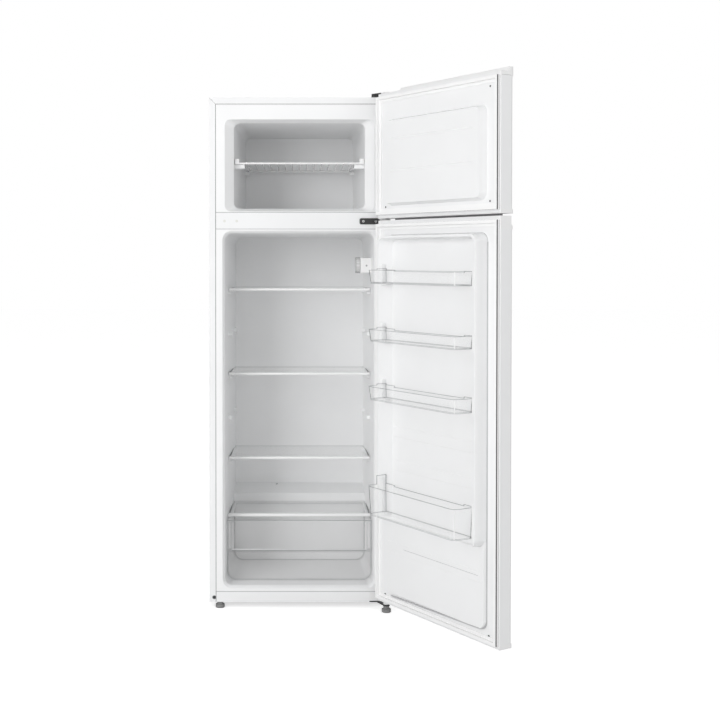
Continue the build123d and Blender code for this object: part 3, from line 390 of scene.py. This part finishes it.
def liner_crease_shade():
    """Painted shade in the fold at the foot of the raised form on the fridge door's liner."""
    low, high = CREASE_LEVELS
    path = []
    for quarter, (side, level) in enumerate(((1, high), (-1, high), (-1, low), (1, low))):
        x = side * CREASE_STRAIGHT
        z = level - CREASE_CORNER if level == high else level + CREASE_CORNER
        for step in range(CREASE_STEPS + 1):
            angle = pi / 2 * (quarter + step / CREASE_STEPS)
            path.append((x + CREASE_CORNER * cos(angle), LINER_FACE, z + CREASE_CORNER * sin(angle)))
    form = bmesh.new()
    for start, end in zip(path, path[1:] + path[:1]):
        rod(form, start, end, CREASE_RADIUS, sides=6)
    door_piece("fridge_door_crease_shade", form, CREASE_SHADE, "fridge_door")


def plateau_shade():
    """Painted shade on the lower and free edges of the raised form on the fridge door's liner, and a painted shade
    line for its flat band.
    """
    low, high = CREASE_LEVELS
    path = [(CREASE_STRAIGHT, LINER_FACE + SHADE_FOOT, low - SHADE_DROP)]
    for step in range(CREASE_STEPS + 1):
        rest = 1 - step / CREASE_STEPS
        angle = pi + pi / 2 * rest
        x = CREASE_CORNER * cos(angle) - CREASE_STRAIGHT
        z = low + RIM_INSET * rest + CREASE_CORNER * (1 + sin(angle))
        path.append((x, LINER_FACE + PLATEAU_RISE * rest, z))
    path.append((-CREASE_SIDE, LINER_FACE, high - CREASE_CORNER))
    form = bmesh.new()
    for start, end in zip(path, path[1:]):
        rod(form, start, end, SHADE_RADIUS, sides=8)
    band = [(x, LINER_FACE + PLATEAU_RISE + BAND_RISE, BAND_LEVEL) for x in BAND_ENDS]
    rod(form, band[0], band[1], BAND_RADIUS)
    door_piece("fridge_door_shade", form, CREASE_SHADE, "fridge_door")


for door, (radius, look, places) in LINER_SCREWS.items():
    gasket_lines(door)
    spots = [(side * LINER_SCREW_SIDE, LINER_FACE, level) for side, level in places]
    discs(door + "_liner_screws", spots, (0, 1, 0), radius, PLUG_HEIGHT, look, door, SWING)
end_seam()
gap_shade()
liner_crease_shade()
plateau_shade()


# Cabinet's front


def front_seams():
    """Joints between the wrapper's flange, the liners and the rails, on the cabinet's front."""
    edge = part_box("fridge_liner")[1].x
    liner_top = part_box("freezer_liner")[1].z
    low = SHELL_LOW.z
    start, end = FRONT - SEAM_PROUD, FRONT
    wide = SEAM_WIDTH / 2
    form = bmesh.new()
    for side in (-1, 1):
        slab(form, (side * edge - wide, start, low), (side * edge + wide, end, liner_top))
        corner = Vector((side * edge, FRONT, liner_top))
        rod(form, corner, Vector((side * (HALF - wide), FRONT, TOP - wide)), wide / 2)
    slab(form, (-edge, start, liner_top - wide), (edge, end, liner_top + wide))
    piece("flange_seam", form, DARK_LINE, "cabinet")
    form = bmesh.new()
    for level in (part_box("mullion_rail")[0].z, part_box("mullion_rail")[1].z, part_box("bottom_rail")[1].z):
        slab(form, (-edge, start, level - wide), (edge, end, level + wide))
    piece("rail_seams", form, GREY_LINE, "cabinet")


front_seams()

# Screws of the middle hinge, with their recesses, and the plugs of the spare holes on the other side
TO_FRONT = (0, -1, 0)
HINGE_FACE = FRONT - 3 * MM
SCREW_LEVEL = 1.1733
# Dark discs on the hinge screws' heads: painted shade in their recesses
RECESS_RADIUS = SCREW_RADIUS / 2.4
SCREW_SPOTS = [(x, HINGE_FACE, SCREW_LEVEL) for x in (0.1928, 0.2305)]
RECESSES = [(x, y - SCREW_HEIGHT, z) for x, y, z in SCREW_SPOTS]
PLUGS = [(x, FRONT, 1.174) for x in (-0.2257, -0.1889)]
TOP_PLUGS = [(x, FRONT + 18 * MM, TOP) for x in (-0.252, -0.236)]
SPARE_HOLE = [(-0.258, FRONT, 0.034)]
HOLE_RADIUS = PLUG_RADIUS + 0.4 * MM
HOLE_RIM = PLUG_RADIUS + 2 * MM
NYLON = MATERIALS["nylon"]
FRONT_DISCS = (
    ("hinge_screws", SCREW_SPOTS, TO_FRONT, SCREW_RADIUS, SCREW_HEIGHT, SCREW_STEEL, "zinc_steel"),
    ("hinge_screw_recesses", RECESSES, TO_FRONT, RECESS_RADIUS, SEAM_PROUD, DARK_LINE, "zinc_steel"),
    ("mullion_plugs", PLUGS, TO_FRONT, PLUG_RADIUS, PLUG_HEIGHT, NYLON, "nylon"),
    ("top_plugs", TOP_PLUGS, (0, 0, 1), PLUG_RADIUS, SCREW_HEIGHT, GREY_LINE, "nylon"),
    ("spare_hole_rim", SPARE_HOLE, TO_FRONT, HOLE_RIM, SEAM_PROUD, GREY_LINE, "black_plastic"),
    ("spare_hole", SPARE_HOLE, TO_FRONT, HOLE_RADIUS, 2 * SEAM_PROUD, SIDE_EDGE, "black_plastic"),
)
for name, places, way, radius, height, look, slot in FRONT_DISCS:
    discs(name, places, way, radius, height, look, "cabinet")

# Balconies, with the upright lines that light draws in their ends and corners
BALCONY_HALF = 199.9 * MM
BALCONY_END = LINER_FACE + 32 * MM
BALCONY_FRONT = LINER_FACE + 92.9 * MM
BALCONY_CORNER = 20.9 * MM
BALCONY_FLARE = 4 * MM
HINGE_LINE_TURN = radians(58)
GLEAM_TURN = radians(45)
GLEAM_RADIUS = 1.6 * MM
EAR_RISE = {"upper": 4 * MM, "middle": 4 * MM, "lower": 4 * MM, "bottle": 25 * MM}


def upright(name, part, side, turn, radius, material):
    """Line in an end of a balcony, or at an angle round the corner between that end and the front."""
    low, high = (corner.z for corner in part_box(name + "_balcony"))
    if turn is None:
        x, y, lean = BALCONY_HALF, BALCONY_END, 0
    else:
        x = BALCONY_HALF - BALCONY_CORNER * (1 - cos(turn))
        y = BALCONY_FRONT - BALCONY_CORNER * (1 - sin(turn))
        lean = BALCONY_FLARE
    form = bmesh.new()
    foot = (side * (x - BALCONY_FLARE), y - lean, low + radius)
    rod(form, foot, (side * x, y, high - EAR_RISE[name] - radius), radius, sides=6)
    door_piece(f"{name}_balcony_{part}", form, material, name + "_balcony")


for name in EAR_RISE:
    edge_lines(name + "_balcony", name + "_balcony", EDGE_RADIUS, CLEAR_EDGE)
    upright(name, "end_line", -1, None, LINE_RADIUS, DARK_LINE)
    upright(name, "hinge_line", 1, HINGE_LINE_TURN, LINE_RADIUS, DARK_LINE)
    upright(name, "gleam", -1, GLEAM_TURN, GLEAM_RADIUS, GLEAM)

# Crisper drawer, with the step in its front
DRAWER_LOW, DRAWER_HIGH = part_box("crisper_drawer")
STEP_LEVEL = DRAWER_LOW.z + 96 * MM
STEP_REACH = DRAWER_HIGH.x - 14 * MM
STEP_GLEAM_LOW = STEP_LEVEL + 0.5 * MM
STEP_GLEAM_HIGH = STEP_LEVEL + 2.5 * MM
STEP_SHADE_DEPTH = DRAWER_LOW.y + 2 * MM
STEP_SHADE_LEVEL = STEP_LEVEL - 2 * MM
STEP_SHADE_RADIUS = 0.8 * MM
UPRIGHT_INSETS = (8 * MM, 18 * MM)
UPRIGHT_LOW = STEP_LEVEL + 3 * MM
UPRIGHT_HIGH = DRAWER_HIGH.z - 6 * MM


def drawer_step():
    """Bright edge over the step in the drawer's front, the shade under it, and the upright gleams above."""
    front = DRAWER_LOW.y
    form = bmesh.new()
    slab(form, (-STEP_REACH, front - SEAM_PROUD, STEP_GLEAM_LOW), (STEP_REACH, front, STEP_GLEAM_HIGH))
    piece("drawer_step_gleam", form, GLEAM, "crisper_drawer")
    form = bmesh.new()
    ends = [(x, STEP_SHADE_DEPTH, STEP_SHADE_LEVEL) for x in (-STEP_REACH, STEP_REACH)]
    rod(form, ends[0], ends[1], STEP_SHADE_RADIUS)
    piece("drawer_step_shade", form, CLEAR_EDGE, "crisper_drawer")
    form = bmesh.new()
    for side in (-1, 1):
        for inset in UPRIGHT_INSETS:
            x = side * (DRAWER_HIGH.x - inset)
            rod(form, (x, front, UPRIGHT_LOW), (x, front, UPRIGHT_HIGH), LINE_RADIUS)
    piece("drawer_upright_gleams", form, GLEAM, "crisper_drawer")


edge_lines("crisper_drawer", "crisper_drawer", EDGE_RADIUS, CLEAR_EDGE, FINE)
drawer_step()

# Thermostat
KNOB_EDGE = 0.4 * MM
MARK = [(0.209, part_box("thermostat_housing")[0].y, 1.0388)]
edge_lines("thermostat_knob", "thermostat_knob", KNOB_EDGE, DARK_LINE)
discs("thermostat_mark", MARK, TO_FRONT, DOT_RADIUS, SEAM_PROUD, GREY_LINE, "cabinet")

# Glass shelves
SHELVES = ("upper_shelf", "middle_shelf", "lower_shelf", "crisper_cover")
SIDE_RADIUS = 1.9 * MM


def side_bars(name):
    """Dark ground edges on both sides of a glass shelf."""
    low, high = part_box(name + "_glass")
    z = (low.z + high.z) / 2
    form = bmesh.new()
    for x in (low.x + SIDE_RADIUS, high.x - SIDE_RADIUS):
        rod(form, (x, low.y + SIDE_RADIUS, z), (x, high.y - SIDE_RADIUS, z), SIDE_RADIUS, sides=8)
    piece(name + "_side_bars", form, SIDE_EDGE, name)


for name in SHELVES:
    edge_lines(name + "_glass", name, EDGE_RADIUS / 2, GLASS_EDGE)
    side_bars(name)

# Wires across the condenser's runs, and the screws of the back panel
COIL_LOW, COIL_HIGH = 0.336, 1.256
COIL_HALF = 0.195
COIL_WIRES = 31
WIRE_RADIUS = 0.8 * MM
WIRE_DEPTH = BACK + 8.8 * MM
PANEL_LOW, PANEL_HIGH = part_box("back_panel")
PANEL_ROWS = 6
SCREW_INSET = 9 * MM


def condenser_wires():
    """Thin upright wires welded to the condenser's runs on the side of the cabinet."""
    form = bmesh.new()
    for number in range(COIL_WIRES):
        x = COIL_HALF * (2 * number / (COIL_WIRES - 1) - 1)
        rod(form, (x, WIRE_DEPTH, COIL_LOW), (x, WIRE_DEPTH, COIL_HIGH), WIRE_RADIUS)
    piece("condenser_wires", form, MATERIALS["black_paint"], "cabinet")


def panel_screws():
    """Rows of screws along both sides of the back panel."""
    spots = []
    for row in range(PANEL_ROWS):
        z = PANEL_LOW.z + SCREW_INSET + (PANEL_HIGH.z - PANEL_LOW.z - 2 * SCREW_INSET) * row / (PANEL_ROWS - 1)
        spots += [(PANEL_LOW.x + SCREW_INSET, BACK, z), (PANEL_HIGH.x - SCREW_INSET, BACK, z)]
    discs("panel_screws", spots, (0, 1, 0), SCREW_RADIUS, SCREW_HEIGHT, SCREW_STEEL, "cabinet")


condenser_wires()
panel_screws()


# Stage
WHITE = (1, 1, 1, 1)
AMBIENT = 0.46
FLOOR_SIZE = 40
FLOOR_COLOUR = (0.85, 0.85, 0.85, 1)
FLOOR_ROUGHNESS = 0.9
FLOOR_GLOW = 0.6
CLEAR_LAYERS = 32
LAMP_TARGET = Vector((0.05, 0, 0.85))
# Name, place, size and power
LAMPS = (
    ("key", (-2.6, -3.8, 1.9), (2.4, 2.6), 97),
    ("top", (-0.5, -2.9, 3.6), (2.4, 1.8), 5),
    ("fill", (1.4, -4.6, 1.7), (2.0, 2.4), 16),
    ("side", (4.2, -3.4, 2.5), (1.4, 1.6), 33),
)


def surroundings(scene):
    """White to the camera, dimmer as a light."""
    world = bpy.data.worlds.new("studio")
    scene.world = world
    world.use_nodes = True
    tree = world.node_tree
    output = tree.nodes["World Output"]
    backdrop = tree.nodes["Background"]
    backdrop.inputs["Color"].default_value = WHITE
    ambient = add(tree, "ShaderNodeBackground", Color=WHITE, Strength=AMBIENT)
    rays = tree.nodes.new("ShaderNodeLightPath")
    mix = tree.nodes.new("ShaderNodeMixShader")
    tree.links.new(rays.outputs["Is Camera Ray"], mix.inputs["Fac"])
    tree.links.new(ambient.outputs["Background"], mix.inputs[1])
    tree.links.new(backdrop.outputs["Background"], mix.inputs[2])
    tree.links.new(mix.outputs["Shader"], output.inputs["Surface"])


def lay_floor():
    """Pale floor that is lifted to white for the camera and keeps the shadow."""
    bpy.ops.mesh.primitive_plane_add(size=FLOOR_SIZE)
    floor = bpy.context.object
    floor.name = "floor"
    material, tree, principled = shader("floor")
    principled.inputs["Base Color"].default_value = FLOOR_COLOUR
    principled.inputs["Roughness"].default_value = FLOOR_ROUGHNESS
    principled.inputs["Emission Color"].default_value = WHITE
    rays = tree.nodes.new("ShaderNodeLightPath")
    glow = spread(tree, rays.outputs["Is Camera Ray"], 0.0, FLOOR_GLOW)
    tree.links.new(glow, principled.inputs["Emission Strength"])
    floor.data.materials.append(material)


def lamps(scene):
    """Soft studio lights, turned to the object."""
    for name, place, size, power in LAMPS:
        data = bpy.data.lights.new(name, "AREA")
        data.shape = "RECTANGLE"
        data.size, data.size_y = size
        data.energy = power
        lamp = bpy.data.objects.new(name, data)
        lamp.location = place
        lamp.rotation_euler = (LAMP_TARGET - lamp.location).to_track_quat("-Z", "Y").to_euler()
        scene.collection.objects.link(lamp)


def place_camera(scene):
    """Camera at the photograph's viewing angle."""
    data = bpy.data.cameras.new("camera")
    data.lens = CAMERA_LENS
    data.sensor_width = CAMERA_SENSOR
    data.shift_x = SHIFT_X
    data.shift_y = SHIFT_Y
    camera = bpy.data.objects.new("camera", data)
    camera.location = CAMERA_PLACE
    camera.rotation_euler = (pi / 2 - CAMERA_PITCH, 0, 0)
    scene.collection.objects.link(camera)
    scene.camera = camera


SCENE = bpy.context.scene
SCENE.view_settings.view_transform = "Standard"
SCENE.cycles.transparent_max_bounces = CLEAR_LAYERS
surroundings(SCENE)
lay_floor()
lamps(SCENE)
place_camera(SCENE)
